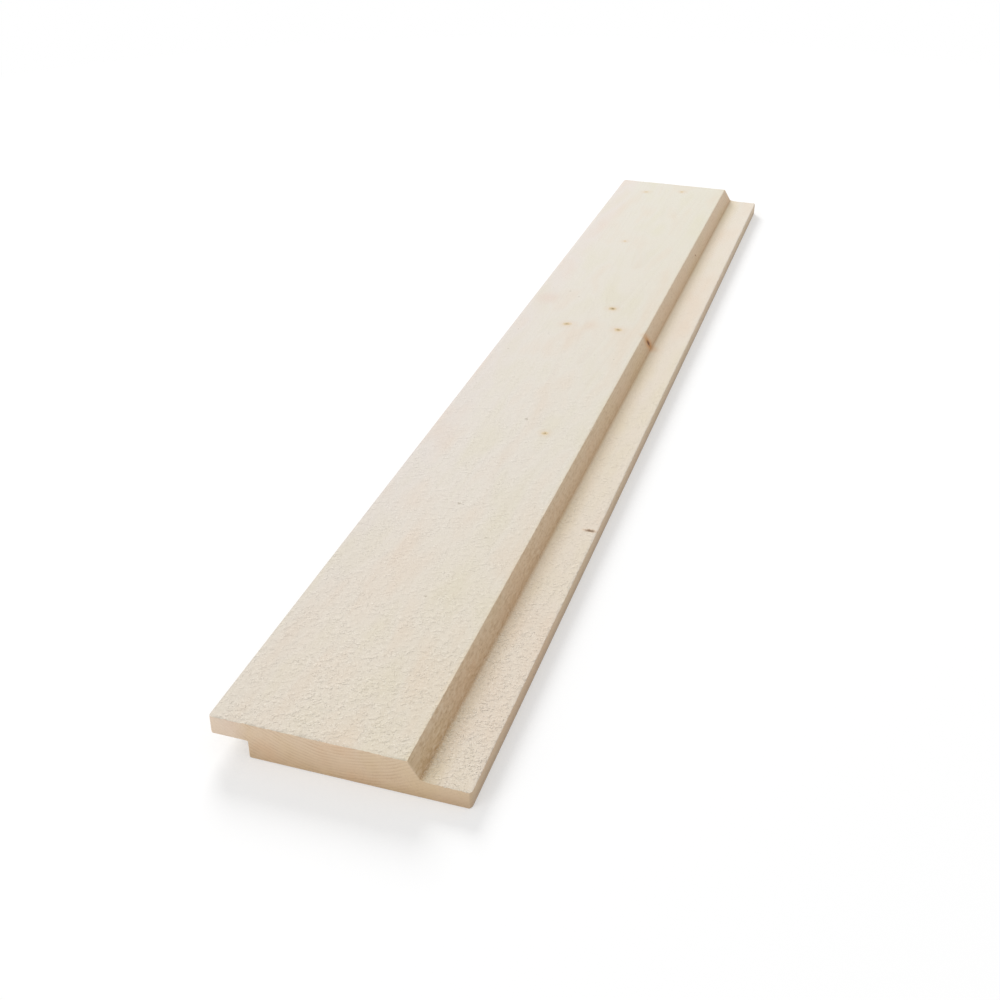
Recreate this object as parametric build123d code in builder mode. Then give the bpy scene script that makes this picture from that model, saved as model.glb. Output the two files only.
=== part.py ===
from build123d import *
import math
import os

# Double rebated cladding board, lying on its back as it would on a bench.
# +X points to the bevelled lip, +Y runs along the grain and +Z out of the weather face.
# The origin is on the bench, under the middle of the board. Lengths are in millimetres.

# The planed blank
board_length = 940.0
board_width = 145.0
board_thickness = 23.0

# Rebate along the back of one edge: what is left over it laps the next board's lip
overlap_width = 21.0
lap_clearance = 0.2

# Rebate along the weather face of the other edge: what is left under it is the lip
lip_width = 27.3
lip_thickness = 11.3

# The rebate's slanted side, measured off upright, sheds water on to the lip
bevel_angle = 32.0

# The cutter's round nose leaves a shallow cove where the lip meets the bevel
cove_width = 6.5
cove_rise = 0.95

# Eased edges, the crisper edge at the top of the bevel, and the corner inside the back rebate
arris_radius = 1.0
bevel_arris_radius = 0.5
rebate_root_radius = 0.6

# Heights and places that follow from the sizes above
half_width = board_width / 2
overlap_underside = lip_thickness + lap_clearance
overlap_root_x = overlap_width - half_width
bevel_foot_x = half_width - lip_width
bevel_foot_z = lip_thickness + cove_rise
bevel_top_x = bevel_foot_x - (board_thickness - bevel_foot_z) * math.tan(math.radians(bevel_angle))
cove_end_x = bevel_foot_x + cove_width

# Corners of the section, from the weather face round by the overlap, the back and the lip
overlap_nose_top = (-half_width, board_thickness)
overlap_nose_bottom = (-half_width, overlap_underside)
overlap_root = (overlap_root_x, overlap_underside)
back_left = (overlap_root_x, 0)
back_right = (half_width, 0)
lip_edge = (half_width, lip_thickness)
cove_end = (cove_end_x, lip_thickness)
bevel_foot = (bevel_foot_x, bevel_foot_z)
bevel_top = (bevel_top_x, board_thickness)


def corner(sketch, point):
    """The sketch's vertex at a corner of the section."""
    return sketch.vertices().sort_by_distance(point)[0]


# The board: one length of softwood, planed to its section and cut square at both ends
with BuildPart() as cladding_board:
    with BuildSketch(Plane.XZ) as section:
        with BuildLine():
            Polyline(bevel_top, overlap_nose_top, overlap_nose_bottom, overlap_root, back_left)
            Polyline(back_left, back_right, lip_edge, cove_end)
            TangentArc(cove_end, bevel_foot, tangent=(-1, 0))
            Line(bevel_foot, bevel_top)
        make_face()
        # Fillets are cut one corner at a time, because each one renews the sketch's vertices
        for eased in (overlap_nose_top, overlap_nose_bottom, back_left, back_right, lip_edge):
            fillet(corner(section.sketch_local, eased), radius=arris_radius)
        fillet(corner(section.sketch_local, bevel_top), radius=bevel_arris_radius)
        fillet(corner(section.sketch_local, overlap_root), radius=rebate_root_radius)
    extrude(amount=board_length / 2, both=True)

cladding_board.part.label = "cladding_board"

os.makedirs("parts", exist_ok=True)
export_step(cladding_board.part, "parts/cladding_board.step")
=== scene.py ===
import math

import bmesh
import bpy
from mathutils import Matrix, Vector


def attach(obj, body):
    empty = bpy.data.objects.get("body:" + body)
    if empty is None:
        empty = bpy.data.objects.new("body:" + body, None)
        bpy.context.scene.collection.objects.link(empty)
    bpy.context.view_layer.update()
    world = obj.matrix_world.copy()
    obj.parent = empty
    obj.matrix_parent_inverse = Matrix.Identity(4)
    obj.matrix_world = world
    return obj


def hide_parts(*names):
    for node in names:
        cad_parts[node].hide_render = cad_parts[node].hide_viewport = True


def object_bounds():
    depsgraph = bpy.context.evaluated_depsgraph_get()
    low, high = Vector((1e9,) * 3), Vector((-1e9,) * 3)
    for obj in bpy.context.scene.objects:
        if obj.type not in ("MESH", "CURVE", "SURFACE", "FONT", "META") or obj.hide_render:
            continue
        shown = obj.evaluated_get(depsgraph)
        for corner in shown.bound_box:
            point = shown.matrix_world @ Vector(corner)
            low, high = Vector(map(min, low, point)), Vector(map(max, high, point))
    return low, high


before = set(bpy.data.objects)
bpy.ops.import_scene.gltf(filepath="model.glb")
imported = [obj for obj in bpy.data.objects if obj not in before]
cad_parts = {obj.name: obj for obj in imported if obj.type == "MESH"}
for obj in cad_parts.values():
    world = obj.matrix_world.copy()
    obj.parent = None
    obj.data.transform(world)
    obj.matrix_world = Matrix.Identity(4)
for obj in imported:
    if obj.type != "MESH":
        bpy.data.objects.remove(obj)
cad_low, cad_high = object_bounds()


# The board's section
# The board is one length of spruce that a moulder has run to its section: a rebate in the back
# along one edge, and a rebate with a bevelled side in the face along the other. The section is
# cut out of the plain blank at the near end, and is then drawn out along the grain.
MM = 0.001
board_width = cad_high.x - cad_low.x
board_length = cad_high.y - cad_low.y
board_thickness = cad_high.z - cad_low.z
overlap_width = 21.0 * MM
overlap_underside = 11.5 * MM
lip_width = 27.3 * MM
lip_thickness = 11.3 * MM
bevel_angle = math.radians(32)
cove_width = 6.5 * MM
cove_rise = 0.95 * MM
arris_radius = 1.0 * MM
bevel_arris_radius = 0.3 * MM
lip_arris_radius = 0.7 * MM
rebate_root_radius = 0.6 * MM
end_chamfer = 0.3 * MM
# Flats that stand for each rounding: the eased edges, the two small ones, and the cove
arris_flats = 3
small_flats = 2
cove_flats = 4
# Two places this close are one place, and what is this close to a corner of the section is at it
same_place = 0.01 * MM
at_corner = 0.1 * MM

overlap_root_x = cad_low.x + overlap_width
bevel_foot_x = cad_high.x - lip_width
bevel_foot_z = lip_thickness + cove_rise
bevel_top_x = bevel_foot_x - (board_thickness - bevel_foot_z) * math.tan(bevel_angle)
# The cove's two tangents are this long, and meet on the lip at this place
cove_tangent = (cove_width ** 2 + cove_rise ** 2) / (2 * cove_width)
cove_corner_x = bevel_foot_x + cove_width - cove_tangent
first_slice_y = cad_low.y + end_chamfer

bpy.ops.object.select_all(action="DESELECT")
bpy.ops.mesh.primitive_plane_add(
    size=1, location=(0, first_slice_y, board_thickness / 2), rotation=(math.pi / 2, 0, 0))
board = bpy.context.object
board.name = "spruce_board"
board.data.name = "spruce_board"
bpy.ops.transform.resize(value=(board_width, 1, board_thickness))
bpy.ops.object.transform_apply(location=True, rotation=True, scale=True)
bpy.ops.object.mode_set(mode="EDIT")


def choose(kind, test):
    """Selects the vertices, edges or faces whose middle passes the test, and nothing else."""
    bpy.ops.mesh.select_mode(type={"verts": "VERT", "edges": "EDGE", "faces": "FACE"}[kind])
    bpy.ops.mesh.select_all(action="DESELECT")
    mesh = bmesh.from_edit_mesh(board.data)
    for element in getattr(mesh, kind):
        if kind == "verts":
            middle = element.co
        elif kind == "edges":
            middle = (element.verts[0].co + element.verts[1].co) / 2
        else:
            middle = element.calc_center_median()
        if test(middle, element):
            element.select_set(True)
    bmesh.update_edit_mesh(board.data)


def cut(point, normal):
    """Scores the whole section along a line that is seen end on."""
    bpy.ops.mesh.select_all(action="SELECT")
    bpy.ops.mesh.bisect(plane_co=point, plane_no=normal)


# The back rebate is one square step
cut((overlap_root_x, 0, 0), (1, 0, 0))
cut((0, 0, overlap_underside), (0, 0, 1))
choose("faces", lambda at, face: at.x < overlap_root_x and at.z < overlap_underside)
bpy.ops.mesh.delete(type="FACE")

# The front rebate is bounded by the bevel, the start of the cove and the lip
bevel_normal = Vector((math.cos(bevel_angle), 0, math.sin(bevel_angle)))
cove_normal = Vector((cove_rise, 0, cove_corner_x - bevel_foot_x)).normalized()
bevel_foot = Vector((bevel_foot_x, first_slice_y, bevel_foot_z))
cut(bevel_foot, bevel_normal)
cut(bevel_foot, cove_normal)
cut((0, 0, lip_thickness), (0, 0, 1))


def in_front_rebate(at, face):
    """True for what the moulder takes off above the lip."""
    from_foot = at - bevel_foot
    return from_foot.dot(bevel_normal) > 0 and from_foot.dot(cove_normal) > 0 and at.z > lip_thickness


choose("faces", in_front_rebate)
bpy.ops.mesh.delete(type="FACE")
bpy.ops.mesh.select_all(action="SELECT")
bpy.ops.mesh.dissolve_limited(angle_limit=math.radians(1))


def ease(x, z, setback, flats):
    """Rounds the corner of the section at x, z, from the setback on each side of it."""
    choose("verts", lambda at, vert: math.hypot(at.x - x, at.z - z) < at_corner)
    bpy.ops.mesh.bevel(offset=setback, segments=flats, profile=0.5, affect="VERTICES")


for corner_z in (board_thickness, overlap_underside):
    ease(cad_low.x, corner_z, arris_radius, arris_flats)
for corner_x in (overlap_root_x, cad_high.x):
    ease(corner_x, 0, arris_radius, arris_flats)
ease(cad_high.x, lip_thickness, lip_arris_radius, arris_flats)
ease(overlap_root_x, overlap_underside, rebate_root_radius, small_flats)
bevel_turn = math.pi / 2 - bevel_angle
ease(bevel_top_x, board_thickness, bevel_arris_radius * math.tan(bevel_turn / 2), small_flats)
ease(cove_corner_x, lip_thickness, cove_tangent, cove_flats)
bpy.ops.mesh.select_all(action="SELECT")
bpy.ops.mesh.remove_doubles(threshold=at_corner / 2)
bpy.ops.mesh.delete(type="ONLY_FACE")

# What was sawn is divided finely enough to carry the saw's relief, the rest more coarsely
sawn_step = 1.5 * MM
bevel_step = 2.0 * MM
plain_step = 20.0 * MM


def step_of(at):
    """The length of the steps that an edge of the section is divided into."""
    if at.z > board_thickness - at_corner:
        return sawn_step
    if at.x > bevel_foot_x and at.z > lip_thickness - at_corner:
        return sawn_step
    if at.x > bevel_top_x and at.z > bevel_foot_z:
        return bevel_step
    return plain_step


long_edges = []
for edge in bmesh.from_edit_mesh(board.data).edges:
    middle = (edge.verts[0].co + edge.verts[1].co) / 2
    cuts = math.ceil(edge.calc_length() / step_of(middle)) - 1
    if cuts > 0:
        long_edges.append((middle, cuts))
for place, cuts in long_edges:
    choose("edges", lambda at, edge: (at - place).length < same_place)
    bpy.ops.mesh.subdivide(number_cuts=cuts)

# The section is drawn out by one slice, and the slice is repeated along the whole board, a hair
# short of it, so that what rounding adds up to stays inside
slice_step = 1.3 * MM
rounding = 0.02 * MM
run_length = board_length - 2 * end_chamfer - rounding
slice_count = round(run_length / slice_step)
slice_length = run_length / slice_count
bpy.ops.mesh.select_mode(type="EDGE")
bpy.ops.mesh.select_all(action="SELECT")
bpy.ops.mesh.extrude_edges_move(TRANSFORM_OT_translate={"value": (0, slice_length, 0)})
bpy.ops.object.mode_set(mode="OBJECT")
slices = board.modifiers.new("slices", "ARRAY")
slices.count = slice_count
slices.use_relative_offset = False
slices.use_constant_offset = True
slices.constant_offset_displace = (0, slice_length, 0)
slices.use_merge_vertices = True
slices.merge_threshold = 2 * same_place
bpy.ops.object.modifier_apply(modifier=slices.name)

# Each end is one flat saw cut, with a trace of an arris round it
bpy.ops.object.mode_set(mode="EDIT")
for end_y in (first_slice_y, first_slice_y + run_length):
    choose("edges", lambda at, edge: abs(at.y - end_y) < same_place)
    bpy.ops.mesh.edge_face_add()
bpy.ops.mesh.select_all(action="SELECT")
bpy.ops.mesh.normals_make_consistent(inside=False)
# An end's face is the one with more than this much of its normal along the board
end_facing = 0.9
for end_side in (-1, 1):
    choose("faces", lambda at, face: face.normal.y * end_side > end_facing)
    bpy.ops.mesh.inset(thickness=end_chamfer, depth=end_chamfer)
bpy.ops.object.mode_set(mode="OBJECT")


# The sawn relief
# The band saw left the face and the lip torn: chips two millimetres across stand up, and what is
# between them lies up to a quarter millimetre lower, so the board keeps its thickness. The ends'
# edges are frayed by the cross cut, and their corners are worn by handling.
def node(tree, kind, inputs=None, **settings):
    """Adds a node with its settings, and sets or links each named input."""
    made = tree.nodes.new(kind)
    for name, value in settings.items():
        setattr(made, name, value)
    for name, value in (inputs or {}).items():
        if isinstance(value, bpy.types.NodeSocket):
            tree.links.new(value, made.inputs[name])
        else:
            made.inputs[name].default_value = value
    return made


chip_size = 2.0 * MM
chip_height = 0.26 * MM
patch_size = 14 * MM
smooth_patch = 0.55
# A chip starts to rise at the first value of the noise, and is full at the second
chip_foot = 0.51
chip_crest = 0.67
# Below the first value a patch is smooth, and above the other it is torn
smooth_below = 0.35
torn_above = 0.6
# Only what faces up was sawn: the relief begins where this much of the normal points up, and is
# full from the second value on
relief_begins = 0.5
relief_full = 0.95
# The chips are shorter along the board than across it
chip_squash = 1.2
# The saw ran rougher at the near end: the share of the depth that is left at the far end, and how
# soon the rest is gone
far_share = 0.32
fading = 2.6
# At an end's edge the cross cut frayed the fibres, so the relief is this much deeper there
fray_gain = 2.5
fray_length = 1.5 * MM
# Handling wore the upright corners and the lower edge at the ends: how deep, how far along the
# board, and how far in it reaches
worn_corner = 1.2 * MM
worn_edge = 0.3 * MM
worn_length = 2.6 * MM
worn_reach = 3.0 * MM


def torn_wood(tree, at, size):
    """Chips of this size that the saw left standing, and how far it tore between them, from 0 to 1."""
    squashed = node(tree, "ShaderNodeVectorMath", {
        0: at, 1: (1, chip_squash, 1)}, operation="MULTIPLY").outputs[0]
    noise = node(tree, "ShaderNodeTexNoise", {
        "Vector": squashed, "Scale": 1 / size, "Detail": 2.0, "Roughness": 0.5}).outputs[0]
    chips = node(tree, "ShaderNodeMapRange", {
        "Value": noise, "From Min": chip_foot, "From Max": chip_crest},
        interpolation_type="SMOOTHSTEP").outputs["Result"]
    patches = node(tree, "ShaderNodeTexNoise", {
        "Vector": at, "Scale": 1 / patch_size, "Detail": 1.0}).outputs[0]
    torn = node(tree, "ShaderNodeMapRange", {
        "Value": patches, "From Min": smooth_below, "From Max": torn_above,
        "To Min": smooth_patch, "To Max": 1}).outputs["Result"]
    to_far_end = node(tree, "ShaderNodeMapRange", {
        "Value": node(tree, "ShaderNodeSeparateXYZ", {0: at}).outputs["Y"],
        "From Min": cad_high.y, "From Max": cad_low.y}).outputs["Result"]
    faded = node(tree, "ShaderNodeMath", {0: to_far_end, 1: fading}, operation="POWER").outputs[0]
    share = node(tree, "ShaderNodeMath", {
        0: faded, 1: 1 - far_share, 2: far_share}, operation="MULTIPLY_ADD").outputs[0]
    depth = node(tree, "ShaderNodeMath", {0: torn, 1: share}, operation="MULTIPLY").outputs[0]
    return chips, depth


relief = bpy.data.node_groups.new("sawn relief", "GeometryNodeTree")
relief.interface.new_socket("Geometry", in_out="INPUT", socket_type="NodeSocketGeometry")
relief.interface.new_socket("Geometry", in_out="OUTPUT", socket_type="NodeSocketGeometry")
plain = node(relief, "NodeGroupInput").outputs[0]
normal = node(relief, "GeometryNodeInputNormal").outputs[0]
across = node(relief, "ShaderNodeVectorMath", {
    0: normal, 1: (1, 0, 1)}, operation="MULTIPLY").outputs[0]
outwards = node(relief, "ShaderNodeVectorMath", {0: across}, operation="NORMALIZE").outputs[0]
upward = node(relief, "ShaderNodeSeparateXYZ", {0: outwards}).outputs["Z"]
roughness = node(relief, "ShaderNodeMapRange", {
    "Value": upward, "From Min": relief_begins, "From Max": relief_full,
    "To Min": 0, "To Max": chip_height}).outputs["Result"]
place = node(relief, "GeometryNodeInputPosition").outputs[0]
place_xyz = node(relief, "ShaderNodeSeparateXYZ", {0: place}).outputs
from_middle = node(relief, "ShaderNodeMath", {0: place_xyz["Y"]}, operation="ABSOLUTE").outputs[0]
fray = node(relief, "ShaderNodeMapRange", {
    "Value": from_middle, "From Min": cad_high.y - fray_length, "From Max": cad_high.y,
    "To Min": 1, "To Max": fray_gain}).outputs["Result"]
chips, depth = torn_wood(relief, place, chip_size)
below = node(relief, "ShaderNodeMath", {0: chips, 1: 1.0}, operation="SUBTRACT").outputs[0]
uneven = node(relief, "ShaderNodeMath", {0: below, 1: depth}, operation="MULTIPLY").outputs[0]
frayed = node(relief, "ShaderNodeMath", {0: roughness, 1: fray}, operation="MULTIPLY").outputs[0]
sunk = node(relief, "ShaderNodeMath", {0: uneven, 1: frayed}, operation="MULTIPLY").outputs[0]
offset = node(relief, "ShaderNodeVectorMath", {
    0: outwards, "Scale": sunk}, operation="SCALE").outputs[0]
to_end = node(relief, "ShaderNodeMapRange", {
    "Value": from_middle, "From Min": cad_high.y - worn_length,
    "From Max": cad_high.y}).outputs["Result"]
rounded = node(relief, "ShaderNodeMath", {0: to_end, 1: 2.0}, operation="POWER").outputs[0]
# Each worn place: its axis, where it starts, how deep and which way it goes, and up to what height
worn_places = (
    ("X", cad_low.x, worn_corner, board_thickness),
    ("X", cad_high.x, -worn_corner, board_thickness),
    ("X", overlap_root_x, worn_corner, overlap_underside),
    ("Z", 0, worn_edge, board_thickness))
for axis, start, depth_in, top in worn_places:
    from_start = node(relief, "ShaderNodeMath", {
        0: place_xyz[axis], 1: start}, operation="SUBTRACT").outputs[0]
    away = node(relief, "ShaderNodeMath", {0: from_start}, operation="ABSOLUTE").outputs[0]
    close = node(relief, "ShaderNodeMapRange", {
        "Value": away, "From Min": worn_reach, "From Max": 0,
        "To Min": 0, "To Max": depth_in}).outputs["Result"]
    under = node(relief, "ShaderNodeMath", {
        0: place_xyz["Z"], 1: top + at_corner}, operation="LESS_THAN").outputs[0]
    here = node(relief, "ShaderNodeMath", {0: close, 1: under}, operation="MULTIPLY").outputs[0]
    worn = node(relief, "ShaderNodeMath", {0: here, 1: rounded}, operation="MULTIPLY").outputs[0]
    inwards = node(relief, "ShaderNodeCombineXYZ", {axis: worn}).outputs[0]
    offset = node(relief, "ShaderNodeVectorMath", {0: offset, 1: inwards}, operation="ADD").outputs[0]
moved = node(relief, "GeometryNodeSetPosition", {"Geometry": plain, "Offset": offset}).outputs[0]
node(relief, "NodeGroupOutput", {0: moved})
sawing = board.modifiers.new("sawn relief", "NODES")
sawing.node_group = relief
bpy.ops.object.select_all(action="DESELECT")
board.select_set(True)
bpy.context.view_layer.objects.active = board
bpy.ops.object.modifier_apply(modifier=sawing.name)
sharpest_smooth = math.radians(35)
bpy.ops.object.shade_smooth_by_angle(angle=sharpest_smooth)


# The wood
# Dry spruce, cut flat sawn with the heart side out: the pith ran above the weather face, so the
# growth rings show on the end as wide hollow arcs, and the branches run down through the board.
# The colour is the same wood all through, and each cut shows it in its own way; in part, too, the
# faces that the light falls on are painted paler and the shaded cuts warmer, as painted light and
# shade.
def linear(hex_colour):
    """Linear colour with alpha from an sRGB hex value."""
    channels = [int(hex_colour[i:i + 2], 16) / 255 for i in (1, 3, 5)]
    return [c / 12.92 if c <= 0.04045 else ((c + 0.055) / 1.055) ** 2.4 for c in channels] + [1]


def tinted(tree, colour, tint, amount):
    """The colour under a thin tint, by an amount from 0 to 1: a stain, and in places painted shade."""
    return node(tree, "ShaderNodeMix", {
        0: amount, 6: colour, 7: linear(tint)}, data_type="RGBA", blend_type="MULTIPLY").outputs[2]


pith = Vector((-2 * MM, 0, 85 * MM))
pith_lean = math.radians(1.0)
ring_width = 2.0 * MM
# Blender's ring wave repeats every pi / 10 of its scaled distance
ring_scale = math.pi / 10 / ring_width
# Grain runs along the board, so what varies in it is drawn out this much along Y
drawn_out = 0.04
sapwood_width = 24 * MM
# The rings are plain as far as the bevel and faint in the lip
plain_rings_x = cad_low.x + 105 * MM
faint_rings_x = cad_low.x + 122 * MM
# The late part of each year's ring is this dark, and takes up less of it as the power rises
latewood_stain = "#C9AE8C"
latewood_power = 3.0
# Years differ in strength over this distance, down to this share of the strongest
years_span = 9 * MM
faintest_years = 0.2
# What is left of the rings in the lip, and what the sapwood takes off them
lip_rings = 0.2
sapwood_loss = 0.8
# Slow drifts of tone in the face, pinker and yellower, four times as long as they are wide: each
# stain and the noise value where it is plainest
drift_size = 22 * MM
drift_squash = 0.25
drifts = (("#FFFAF6", 0.3), ("#FDFDF7", 0.7))


def grain(tree, at, near, far, sapwood, ring_depth):
    """The wood's colour from the near to the far end, with its sapwood, drifts and rings."""
    place = node(tree, "ShaderNodeSeparateXYZ", {0: at})
    along = node(tree, "ShaderNodeMapRange", {
        "Value": place.outputs["Y"], "From Min": cad_low.y, "From Max": cad_high.y}).outputs["Result"]
    # Where the far colour is the lighter, as in the planed, moulded and rebated cuts, the far end is
    # painted brighter: painted light
    body = node(tree, "ShaderNodeMix", {
        0: along, 6: linear(near), 7: linear(far)}, data_type="RGBA").outputs[2]
    outer = node(tree, "ShaderNodeMapRange", {
        "Value": place.outputs["X"], "From Min": cad_low.x + sapwood_width,
        "From Max": cad_low.x + sapwood_width / 2}, interpolation_type="SMOOTHSTEP").outputs["Result"]
    wood = node(tree, "ShaderNodeMix", {
        0: outer, 6: body, 7: linear(sapwood)}, data_type="RGBA").outputs[2]
    about_pith = node(tree, "ShaderNodeMapping", {
        "Vector": at, "Location": -pith, "Rotation": (pith_lean, 0, 0)}).outputs[0]
    fibres = node(tree, "ShaderNodeMapping", {
        "Vector": about_pith, "Scale": (1, drawn_out, 1)}).outputs[0]
    drawn = node(tree, "ShaderNodeMapping", {
        "Vector": at, "Scale": (1, drift_squash, 1)}).outputs[0]
    drift = node(tree, "ShaderNodeTexNoise", {
        "Vector": drawn, "Scale": 1 / drift_size, "Detail": 2.0}).outputs[0]
    for tint, plainest in drifts:
        amount = node(tree, "ShaderNodeMapRange", {
            "Value": drift, "From Min": 0.5, "From Max": plainest}).outputs["Result"]
        wood = tinted(tree, wood, tint, amount)
    rings = node(tree, "ShaderNodeTexWave", {
        "Vector": fibres, "Scale": ring_scale, "Distortion": 5.0, "Detail": 2.0, "Detail Scale": 0.3},
        wave_type="RINGS", rings_direction="Y", wave_profile="SAW").outputs["Fac"]
    latewood = node(tree, "ShaderNodeMath", {0: rings, 1: latewood_power}, operation="POWER").outputs[0]
    years = node(tree, "ShaderNodeTexNoise", {
        "Vector": fibres, "Scale": 1 / years_span, "Detail": 1.0}).outputs[0]
    strength = node(tree, "ShaderNodeMapRange", {
        "Value": years, "From Min": 0.35, "From Max": 0.65,
        "To Min": faintest_years * ring_depth, "To Max": ring_depth}).outputs["Result"]
    inner = node(tree, "ShaderNodeMapRange", {
        "Value": place.outputs["X"], "From Min": plain_rings_x, "From Max": faint_rings_x,
        "To Min": 1, "To Max": lip_rings}).outputs["Result"]
    sap_rings = node(tree, "ShaderNodeMath", {
        0: outer, 1: -sapwood_loss, 2: inner}, operation="MULTIPLY_ADD").outputs[0]
    amount = node(tree, "ShaderNodeMath", {0: latewood, 1: strength}, operation="MULTIPLY").outputs[0]
    shown = node(tree, "ShaderNodeMath", {
        0: amount, 1: sap_rings}, operation="MULTIPLY").outputs[0]
    return tinted(tree, wood, latewood_stain, shown)


# Knots, where a branch is cut across: millimetres from the left edge and from the near end, the
# knot's radius, and how pale its heart is
knots = (
    (44, 542.5, 2.9, 0.35), (73, 586, 2.6, 0.15), (88, 544, 3.0, 0.4), (80.5, 350, 2.3, 0.4),
    (32, 906, 2.4, 0.6), (68.5, 918, 2.4, 0.6), (45, 752, 2.0, 0.7))
branch_rise = -0.4
branch_length = 80 * MM
# Splinters, where a thin branch lies in the cut: its middle from the left edge, from the near end and
# above the back, the way it runs, half its length and its radius in millimetres, and how pale it is
splinters = (((115.1, 540.0, 16.4), (2.6, -1.5, -4.1), 2.8, 2.3, -0.25),)
# Gouges, where the saw tore out a strip: given as the splinters are
gouges = (
    ((115.0, 752.0, 16.5), (2.6, -1.5, -4.1), 1.2, 1.8, -0.05),
    ((140.0, 252.0, 11.3), (1.0, 0.0, 0.0), 4.0, 1.6, -0.15))
# Pits, where the saw pulled out a chip, painted as grey spots of shade: from the left edge, from the
# near end and the radius
pits = (
    (61.5, 367, 1.8), (54, 240, 1.5), (84, 206, 1.0), (66, 262, 0.8), (70.5, 135, 1.0),
    (98, 486, 0.9), (28, 613, 1.2), (38.5, 603, 1.1), (8, 520, 1.0), (12, 480, 1.0))
# Blushes, where the wood is pinker: from the left edge, from the near end, half the width, half the
# length, and how pale it is
blushes = ((13, 592, 14, 18, 0.1), (64, 545, 13, 22, 0.5))
marks = []
slivers = []
strips = []
holes = []
pinker = []
for from_left, from_near, radius, paleness in knots:
    spot = Vector((cad_low.x + from_left * MM, cad_low.y + from_near * MM, board_thickness))
    branch = Vector((spot.x - pith.x, 0, spot.z - pith.z)).normalized() + Vector((0, branch_rise, 0))
    marks.append((spot, branch, radius * MM, branch_length, paleness))
for listed, places in ((splinters, slivers), (gouges, strips)):
    for (from_left, from_near, above), run, half_length, radius, paleness in listed:
        spot = Vector((cad_low.x + from_left * MM, cad_low.y + from_near * MM, above * MM))
        places.append((spot, Vector(run), radius * MM, half_length * MM, paleness))
for from_left, from_near, radius in pits:
    spot = Vector((cad_low.x + from_left * MM, cad_low.y + from_near * MM, board_thickness))
    holes.append((spot, Vector((0, 0, -1)), radius * MM, radius * MM, 0))
for from_left, from_near, radius, half_length, paleness in blushes:
    spot = Vector((cad_low.x + from_left * MM, cad_low.y + from_near * MM, board_thickness))
    pinker.append((spot, Vector((0, 1, 0)), radius * MM, half_length * MM, paleness))
# A mark's parts, from outside in: from and to how many radii each fades, how strong it is, its tint
mark_parts = (
    (1.0, 4.0, 0.4, "#FBEBDD"), (0.8, 1.9, 0.75, "#F6E6B9"), (0.2, 1.1, 0.85, "#93805C"))
sliver_parts = (
    (1.0, 4.5, 0.9, "#F7E0C8"), (0.8, 2.0, 0.8, "#F0D6A8"), (0.2, 1.1, 0.95, "#784B0C"))
strip_parts = ((0.9, 1.5, 0.5, "#F6E2CE"), (0.2, 1.1, 0.9, "#826338"))
# A pit's grey is painted shade, where its hollow would be dark
pit_shade_parts = ((0.2, 1.2, 0.6, "#A9A28E"),)
pink_parts = ((0.1, 1.2, 0.6, "#FCEFE8"),)
# A mark's outline wanders this far, over this distance
mark_wander = 3 * MM
wander_size = 2 * MM


def marked(tree, at, colour, places, parts):
    """Adds marks of one kind, each part of them as a tint about its place."""
    noise = node(tree, "ShaderNodeTexNoise", {
        "Vector": at, "Scale": 1 / wander_size, "Detail": 2}).outputs["Color"]
    wander = node(tree, "ShaderNodeVectorMath", {
        0: noise, 1: (0.5, 0.5, 0.5)}, operation="SUBTRACT").outputs[0]
    shaken = node(tree, "ShaderNodeVectorMath", {
        0: wander, 1: (mark_wander,) * 3, 2: at}, operation="MULTIPLY_ADD").outputs[0]
    nearest = None
    for spot, run, radius, half_length, paleness in places:
        within = node(tree, "ShaderNodeMapping", {
            "Vector": shaken, "Location": spot, "Rotation": run.to_track_quat("Z", "Y").to_euler(),
            "Scale": (radius, radius, half_length)}, vector_type="TEXTURE").outputs[0]
        away = node(tree, "ShaderNodeVectorMath", {0: within}, operation="LENGTH").outputs["Value"]
        share = node(tree, "ShaderNodeMath", {0: away, 1: paleness}, operation="ADD").outputs[0]
        if nearest is None:
            nearest = share
        else:
            nearest = node(tree, "ShaderNodeMath", {
                0: nearest, 1: share}, operation="MINIMUM").outputs[0]
    for inside, outside, most, tint in parts:
        amount = node(tree, "ShaderNodeMapRange", {
            "Value": nearest, "From Min": inside, "From Max": outside, "To Min": most, "To Max": 0},
            interpolation_type="SMOOTHSTEP").outputs["Result"]
        colour = tinted(tree, colour, tint, amount)
    return colour


def stain_and_painted_shade(tree, at, colour, tint, start, end, power):
    """Tints the wood from one place on the section to another, where the tint is deepest: a stain,
    and painted shade where it darkens a crease, a lit edge or the parts near the floor.
    """
    run = Vector(end) - Vector(start)
    place = node(tree, "ShaderNodeVectorMath", {0: at, 1: start}, operation="SUBTRACT").outputs[0]
    share = node(tree, "ShaderNodeVectorMath", {
        0: place, 1: run / run.length_squared}, operation="DOT_PRODUCT").outputs["Value"]
    inside = node(tree, "ShaderNodeClamp", {0: share}).outputs[0]
    amount = node(tree, "ShaderNodeMath", {0: inside, 1: power}, operation="POWER").outputs[0]
    return tinted(tree, colour, tint, amount)


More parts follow.
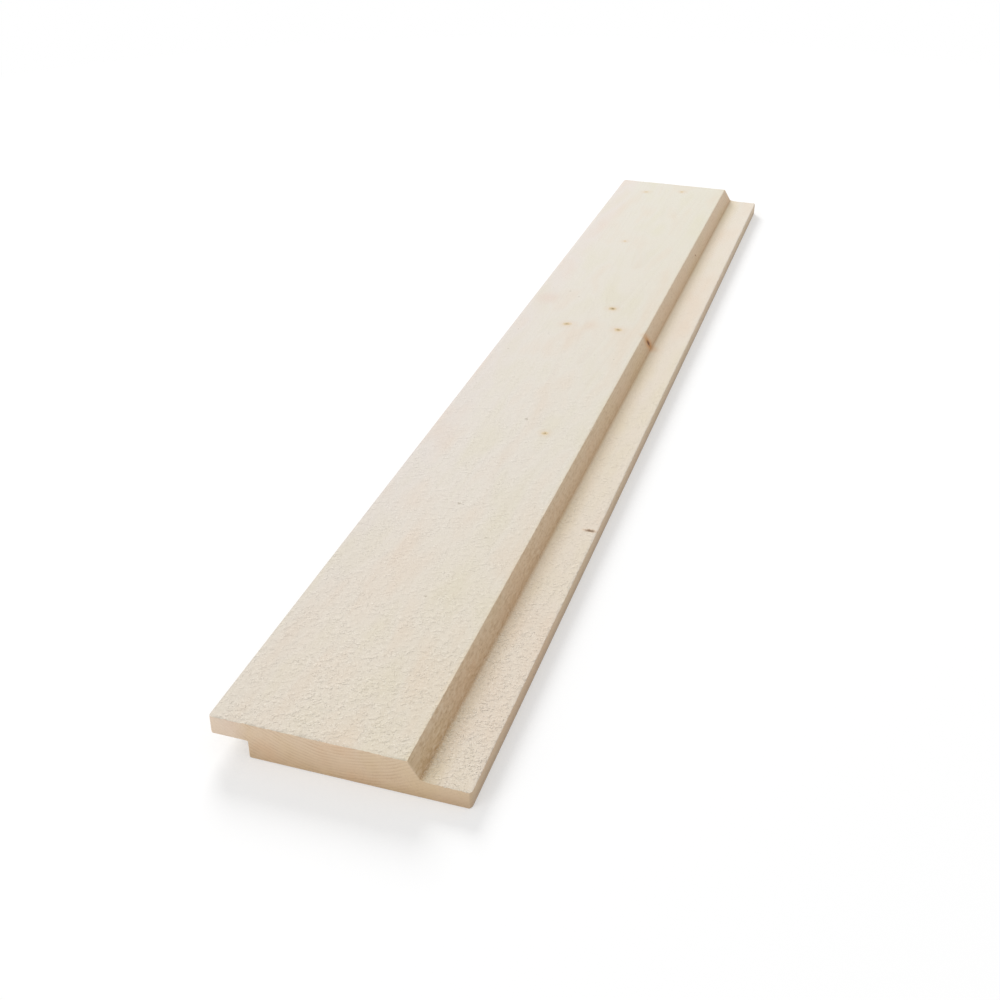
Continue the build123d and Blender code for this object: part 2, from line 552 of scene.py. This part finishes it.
def spruce(name, near, far, sapwood, stains_and_painted_shade, ring_depth, rough, chips, fuzz, specks_and_painted_light):
    """Spruce as one kind of cut shows it: its colours, tints and painted shade, rings, knots, chips,
    fuzz, and specks with painted shade and highlight.

    Tints and painted shade are a colour, where it starts, where it is deepest and a power. Chips are
    a size and a height, fuzz is a size, a squash along the grain and a height, and a speck is a tint,
    the noise value where it is plainest and its most: dark specks lie in the fuzz's hollows and light
    ones on its crests, partly the wood's own speckle and partly painted shade and painted highlight.
    """
    material = bpy.data.materials.new(name)
    material.use_nodes = True
    tree = material.node_tree
    tree.nodes.clear()
    at = node(tree, "ShaderNodeTexCoord").outputs["Object"]
    wood = grain(tree, at, near, far, sapwood, ring_depth)
    wood = marked(tree, at, wood, marks, mark_parts)
    wood = marked(tree, at, wood, slivers, sliver_parts)
    wood = marked(tree, at, wood, strips, strip_parts)
    wood = marked(tree, at, wood, holes, pit_shade_parts)
    wood = marked(tree, at, wood, pinker, pink_parts)
    for tint, start, end, power in stains_and_painted_shade:
        wood = stain_and_painted_shade(tree, at, wood, tint, start, end, power)
    size, tear_depth = chips
    standing, torn = torn_wood(tree, at, size)
    fibre_size, fibre_squash, fuzz_depth = fuzz
    lying = node(tree, "ShaderNodeMapping", {"Vector": at, "Scale": (1, fibre_squash, 1)}).outputs[0]
    fibres = node(tree, "ShaderNodeTexNoise", {
        "Vector": lying, "Scale": 1 / fibre_size, "Detail": 2.0, "Roughness": 0.6}).outputs[0]
    # Dark specks lie in the fuzz's hollows and light ones on its crests: partly the wood's own speckle,
    # partly painted shade and painted highlight
    for tint, plain, most in specks_and_painted_light:
        speck_and_painted_light = node(tree, "ShaderNodeMapRange", {
            "Value": fibres, "From Min": 0.5, "From Max": plain,
            "To Min": 0, "To Max": most}).outputs["Result"]
        shown = node(tree, "ShaderNodeMath", {0: speck_and_painted_light, 1: torn}, operation="MULTIPLY").outputs[0]
        wood = node(tree, "ShaderNodeMix", {
            0: shown, 6: wood, 7: linear(tint)}, data_type="RGBA").outputs[2]
    tears = node(tree, "ShaderNodeMath", {0: standing, 1: tear_depth}, operation="MULTIPLY").outputs[0]
    height = node(tree, "ShaderNodeMath", {
        0: fibres, 1: fuzz_depth, 2: tears}, operation="MULTIPLY_ADD").outputs[0]
    uneven = node(tree, "ShaderNodeMath", {0: height, 1: torn}, operation="MULTIPLY").outputs[0]
    bump = node(tree, "ShaderNodeBump", {
        "Height": uneven, "Distance": 1.0, "Strength": 1.0}).outputs[0]
    shader = node(tree, "ShaderNodeBsdfPrincipled", {
        "Base Color": wood, "Roughness": rough, "IOR": 1.5, "Normal": bump}).outputs[0]
    node(tree, "ShaderNodeOutputMaterial", {"Surface": shader})
    return material


# Places that the tints and the painted shade run between
near_end = (0, cad_low.y, 0)
past_near_end = (0, cad_low.y + 300 * MM, 0)
past_left = (cad_low.x + 1.5 * MM, 0, board_thickness)
face_left = (cad_low.x, 0, board_thickness)
past_right = (bevel_top_x - 2.5 * MM, 0, board_thickness)
face_right = (bevel_top_x, 0, board_thickness)
foot = (bevel_foot_x, 0, bevel_foot_z)
low_bevel = (bevel_foot_x - 2.2 * MM, 0, bevel_foot_z + 3.5 * MM)
past_foot = (bevel_foot_x + 2.2 * MM, 0, bevel_foot_z)
lip_middle = (bevel_foot_x + 13 * MM, 0, bevel_foot_z)
side_top = (0, 0, 9 * MM)
end_top = (0, 0, board_thickness)
back = (0, 0, 0)

# A wood fibre is far too thin to show, so the fuzz is drawn as tufts of about a millimetre
tuft_size = 0.8 * MM
cutter_mark = 1.4 * MM
# Sawn: torn pale fibres scatter the light, so the face is nearly white and quite dull; it is also
# painted paler, as painted light on the lit face
board.data.materials.append(spruce(
    "fine sawn spruce", near="#E2D9D1", far="#DFDACF", sapwood="#E0D8D0",
    stains_and_painted_shade=[
        ("#FEFCF4", past_near_end, near_end, 1), ("#FEFEF9", face_left, face_right, 1),
        # The grey tint along the left edge is painted shade: it dims the edge where the soft box lights
        # it
        ("#E6E5E9", past_left, face_left, 1), ("#FFFCF5", past_right, face_right, 1)],
    ring_depth=0.06, rough=0.85, chips=(chip_size, 0.22 * MM), fuzz=(tuft_size, 1, 0.2 * MM),
    specks_and_painted_light=[("#C0A88C", 0.3, 0.05), ("#FFF8EC", 0.7, 0.45)]))
# Planed: cut clean, so the wood's honey colour and its rings show; it is painted darker towards the
# back as painted shade near the floor, and lighter towards the far end as painted light
board.data.materials.append(spruce(
    "planed spruce", near="#DEC4A5", far="#E3CEB2", sapwood="#E2D5C3",
    # The tint darkens the edges towards the back: painted shade near the floor
    stains_and_painted_shade=[("#E6E2DE", side_top, back, 1)], ring_depth=0.6, rough=0.6,
    chips=(chip_size, 0), fuzz=(tuft_size, 0.4, 0.12 * MM), specks_and_painted_light=[("#A08060", 0.3, 0.2)]))
# Cross cut: open pores seen end on, with the rings as arcs, and painted darker towards the back as
# painted shade near the floor
board.data.materials.append(spruce(
    "cross cut spruce", near="#E6CEB2", far="#DAC9B5", sapwood="#EAD6C2",
    # The tint darkens the end towards the back: painted shade near the floor
    stains_and_painted_shade=[("#EDE6DA", end_top, back, 1.5)], ring_depth=0.48, rough=0.75,
    chips=(chip_size, 0), fuzz=(tuft_size, 1, 0.1 * MM), specks_and_painted_light=[("#A08060", 0.3, 0.15)]))
# Moulded: the bevel, which the cutter left honey coloured and flecked; it is painted darker at its
# foot as painted shade in the crease, and lighter towards the far end as painted light
board.data.materials.append(spruce(
    "moulded spruce", near="#E3CAAA", far="#F5E1C7", sapwood="#E3CAAA",
    # Both tints darken the bevel towards its foot: painted shade in the crease
    stains_and_painted_shade=[("#F3EADF", face_right, foot, 1), ("#F7F4F1", low_bevel, foot, 1)],
    ring_depth=0.3, rough=0.7,
    chips=(chip_size, 0.1 * MM), fuzz=(cutter_mark, 0.3, 0.35 * MM),
    specks_and_painted_light=[("#A5804F", 0.3, 0.5), ("#F4E0C4", 0.7, 0.55)]))
# Rebated: the lip, sawn like the face, and painted darker and warmer where it meets the bevel, as
# painted shade in the crease
board.data.materials.append(spruce(
    "fine rebated spruce", near="#E2D5C4", far="#E3DACC", sapwood="#E2D5C4",
    # Both tints darken the lip towards the bevel's foot: painted shade in the crease
    stains_and_painted_shade=[("#FFF7E8", lip_middle, foot, 1), ("#E8D6C0", past_foot, foot, 1)],
    ring_depth=0.06, rough=0.85, chips=(chip_size, 0.36 * MM), fuzz=(tuft_size, 1, 0.3 * MM),
    specks_and_painted_light=[("#C0A88C", 0.3, 0.05), ("#FFF8EC", 0.7, 0.6)]))
# Each face gets its cut by the way it faces and where it is; what is left is sawn. It is cross cut
# with more than the first share of its normal along the board, planed with less than the second
# pointing up, and moulded, beside the bevel's top, with less than the third
cross_cut_along = 0.5
planed_up = 0.4
moulded_up = 0.7
SAWN, PLANED, CROSS_CUT, MOULDED, REBATED = range(5)
for face in board.data.polygons:
    face.material_index = SAWN
    if abs(face.normal.y) > cross_cut_along:
        face.material_index = CROSS_CUT
    elif face.normal.z < planed_up:
        face.material_index = PLANED
    elif face.center.x > bevel_foot_x:
        face.material_index = REBATED
    elif face.center.x > bevel_top_x and face.normal.z < moulded_up:
        face.material_index = MOULDED

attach(board, "root")
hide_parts("cladding_board")


# The floor
# A plain white sweep that the board lies on. About the board it keeps the soft shadow, and farther
# out it is evenly white to the eye, from whatever side it is seen.
shadow_radius = 0.8
white_radius = 1.3
floor_size = 30
# Of the white that is seen about the board, this share is there in the deepest shadow too
shadow_glow = 0.413
bpy.ops.mesh.primitive_plane_add(size=floor_size)
floor = bpy.context.object
floor.name = "floor"
sweep = bpy.data.materials.new("white paper sweep")
sweep.use_nodes = True
tree = sweep.node_tree
tree.nodes.clear()
paper = node(tree, "ShaderNodeBsdfDiffuse", {"Color": linear("#E6E6E6")}).outputs[0]
glow = node(tree, "ShaderNodeEmission", {
    "Color": linear("#FFFFFF"), "Strength": shadow_glow}).outputs[0]
shade = node(tree, "ShaderNodeBsdfDiffuse", {"Color": linear("#CECECE")}).outputs[0]
shadowed = node(tree, "ShaderNodeAddShader", {0: glow, 1: shade}).outputs[0]
even = node(tree, "ShaderNodeEmission", {"Color": linear("#FFFFFF"), "Strength": 1.0}).outputs[0]
on_floor = node(tree, "ShaderNodeTexCoord").outputs["Object"]
from_board = node(tree, "ShaderNodeVectorMath", {0: on_floor}, operation="LENGTH").outputs["Value"]
outside = node(tree, "ShaderNodeMapRange", {
    "Value": from_board, "From Min": shadow_radius, "From Max": white_radius}).outputs["Result"]
white = node(tree, "ShaderNodeMixShader", {0: outside, 1: shadowed, 2: even}).outputs[0]


def seen(tree):
    """True for rays that show the background: to the camera, and by mirror or glass."""
    rays = node(tree, "ShaderNodeLightPath").outputs
    direct = node(tree, "ShaderNodeMath", {
        0: rays["Is Camera Ray"], 1: rays["Is Glossy Ray"]}, operation="MAXIMUM").outputs[0]
    return node(tree, "ShaderNodeMath", {
        0: direct, 1: rays["Is Transmission Ray"]}, operation="MAXIMUM").outputs[0]


lit = node(tree, "ShaderNodeMixShader", {0: seen(tree), 1: paper, 2: white}).outputs[0]
node(tree, "ShaderNodeOutputMaterial", {"Surface": lit})
floor.data.materials.append(sweep)


# The light
# A soft box high behind the board's left side, a wider and weaker one in front of it, and even
# light from a white room.
def soft_box(name, towards, distance, size, share):
    """A round soft box that adds its share to the light on a surface that faces it."""
    direction = Vector(towards).normalized()
    data = bpy.data.lights.new(name, "AREA")
    data.shape = "DISK"
    data.size = size
    # A small lamp of this power gives a white surface that faces it a brightness of its share
    data.energy = share * math.pi * math.pi * distance ** 2
    lamp = bpy.data.objects.new(name, data)
    lamp.location = direction * distance
    lamp.rotation_euler = direction.to_track_quat("Z", "Y").to_euler()
    bpy.context.scene.collection.objects.link(lamp)


soft_box("key soft box", (-0.46, 0.745, 0.485), 7.0, 2.8, 0.75)
soft_box("fill soft box", (-0.45, -0.78, 0.42), 6.0, 4.0, 0.26)

room = bpy.data.worlds.new("white room")
room.use_nodes = True
tree = room.node_tree
tree.nodes.clear()
# What the room adds to the light
room_light = 0.55
room_fill = node(tree, "ShaderNodeBackground", {
    "Color": linear("#FFFFFF"), "Strength": room_light}).outputs[0]
room_white = node(tree, "ShaderNodeBackground", {
    "Color": linear("#FFFFFF"), "Strength": 1.0}).outputs[0]
room_seen = node(tree, "ShaderNodeMixShader", {
    0: seen(tree), 1: room_fill, 2: room_white}).outputs[0]
node(tree, "ShaderNodeOutputWorld", {"Surface": room_seen})
bpy.context.scene.world = room


# The camera
# It stands to the right of the near end and looks down along the board.
camera_data = bpy.data.cameras.new("camera")
camera_data.lens = 47.384
camera = bpy.data.objects.new("camera", camera_data)
camera.location = (0.23307, -0.92395, 0.47410)
camera.rotation_euler = (math.radians(58.690), math.radians(-0.084), math.radians(17.891))
bpy.context.scene.collection.objects.link(camera)
bpy.context.scene.camera = camera
bpy.context.scene.view_settings.view_transform = "Standard"
